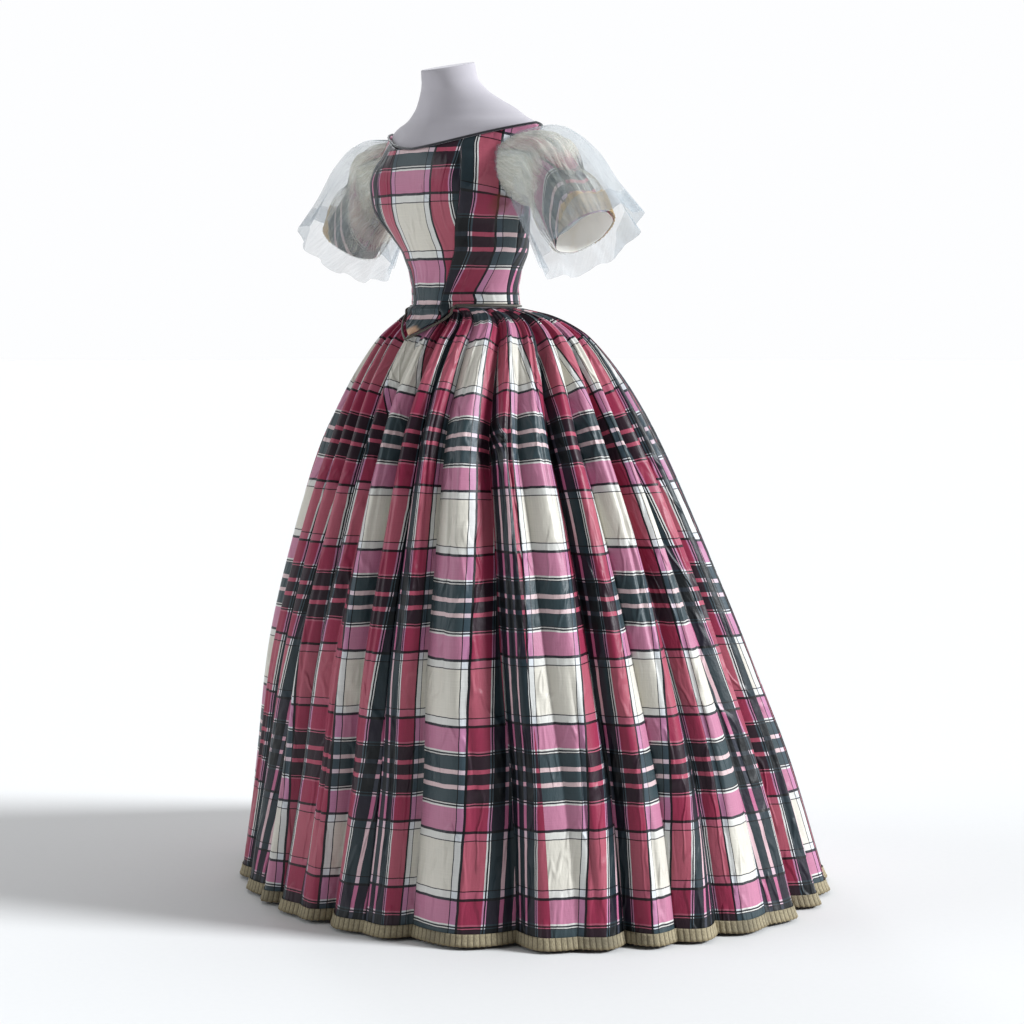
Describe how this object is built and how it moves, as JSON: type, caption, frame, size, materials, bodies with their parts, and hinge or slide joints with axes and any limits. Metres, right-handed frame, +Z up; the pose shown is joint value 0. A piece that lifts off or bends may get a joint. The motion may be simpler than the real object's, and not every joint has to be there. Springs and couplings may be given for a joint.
{
  "type": "ball gown on dress form",
  "caption": "Full-skirted tartan ball gown with a pointed bodice, gauze puff sleeves and sheer frills, worn on a limbless dress form with a round base.",
  "frame": {"origin": "centre of the whole part's footprint, on the floor", "axes": "+Z up, the front of the gown faces -Y, the wearer's left is +X"},
  "size_m": [1.1116, 1.0119, 1.4511],
  "materials": {
    "tartan_silk": "crisp tartan taffeta with a soft sheen",
    "piping_silk": "dark silk cord",
    "khaki_braid": "ribbed matt braid",
    "ivory_gauze": "thin ivory gauze",
    "white_organza": "sheer stiff organza",
    "form_cover": "smooth matt lavender grey",
    "stand_steel": "satin pale paint"
  },
  "bodies": {
    "root": {"skirt_centre_front": "tartan_silk", "skirt_side_front_left": "tartan_silk", "skirt_side_back_left": "tartan_silk", "skirt_back_left": "tartan_silk", "skirt_back_right": "tartan_silk", "skirt_side_back_right": "tartan_silk", "skirt_side_front_right": "tartan_silk", "bodice_centre_front": "tartan_silk", "bodice_side_front_left": "tartan_silk", "bodice_side_front_right": "tartan_silk", "bodice_back_left": "tartan_silk", "bodice_back_right": "tartan_silk", "hem_braid": "khaki_braid", "neck_piping": "piping_silk", "waist_piping": "piping_silk", "sleeve_left": "tartan_silk", "sleeve_gauze_left": "ivory_gauze", "sleeve_frill_left": "white_organza", "sleeve_right": "tartan_silk", "sleeve_gauze_right": "ivory_gauze", "sleeve_frill_right": "white_organza", "dress_form": "form_cover", "form_pole": "stand_steel", "form_base": "stand_steel"}
  },
  "joints": []
}
